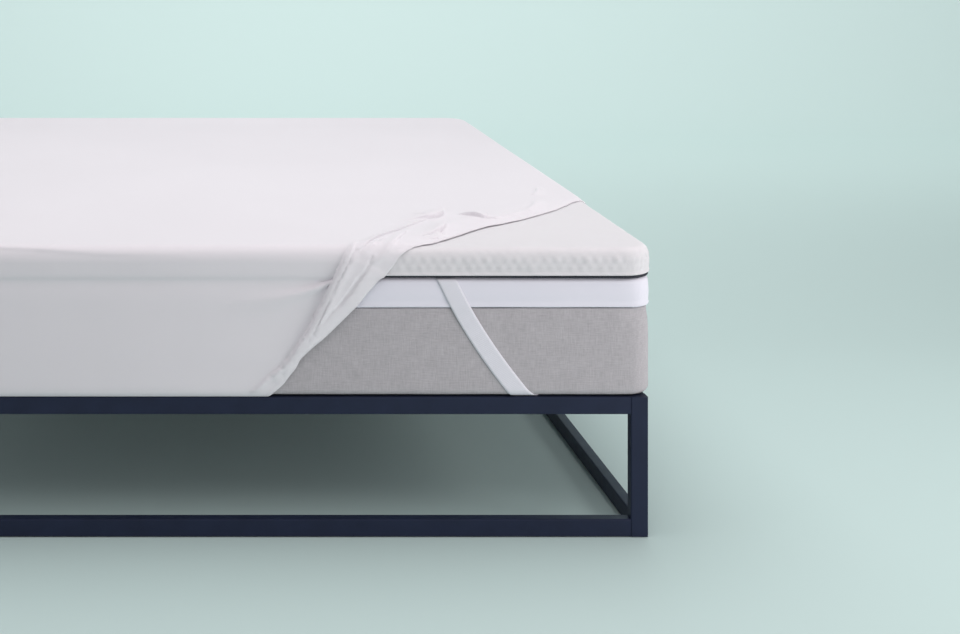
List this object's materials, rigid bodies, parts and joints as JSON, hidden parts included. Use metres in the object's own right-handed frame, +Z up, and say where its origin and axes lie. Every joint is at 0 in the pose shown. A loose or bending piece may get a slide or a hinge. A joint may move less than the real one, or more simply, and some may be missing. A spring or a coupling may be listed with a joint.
{
  "type": "waterproof mattress protector on a mattress with topper and metal bed frame",
  "caption": "Fitted waterproof mattress protector pulled off one corner of a bed with a topper, a two-tone mattress and a navy tube frame.",
  "frame": {"origin": "middle of the bed's outline on the floor", "axes": "+Y along the bed from the foot to the head, +Z up, +X across the bed towards the side whose foot corner is uncovered"},
  "size_m": [1.8299, 2.03, 0.6349],
  "materials": {
    "protector_cloth": "matte fine knit over a thin film",
    "topper_fabric": "matte knit with small bubbles",
    "grip_fabric": "matte dark non-slip cloth",
    "strap_elastic": "matte woven elastic",
    "cap_fabric": "matte knit",
    "grey_fabric": "matte slub weave",
    "frame_navy": "satin powder coat",
    "pad_rubber": "matte"
  },
  "bodies": {
    "root": {"protector": "protector_cloth", "topper_pad": "topper_fabric", "topper_grip_sheet": "grip_fabric", "corner_strap": "strap_elastic", "mattress_cap": "cap_fabric", "mattress_base": "grey_fabric", "leg_foot_left": "frame_navy", "leg_head_left": "frame_navy", "leg_foot_right": "frame_navy", "leg_head_right": "frame_navy", "rail_top_foot": "frame_navy", "rail_top_head": "frame_navy", "rail_top_left": "frame_navy", "rail_top_right": "frame_navy", "rail_low_foot": "frame_navy", "rail_low_head": "frame_navy", "rail_low_left": "frame_navy", "rail_low_right": "frame_navy", "cross_bar_1": "frame_navy", "cross_bar_2": "frame_navy", "cross_bar_3": "frame_navy", "cross_bar_4": "frame_navy", "cross_bar_5": "frame_navy", "cross_bar_6": "frame_navy", "cross_bar_7": "frame_navy", "pad_foot_left": "pad_rubber", "pad_head_left": "pad_rubber", "pad_foot_right": "pad_rubber", "pad_head_right": "pad_rubber"}
  },
  "joints": []
}
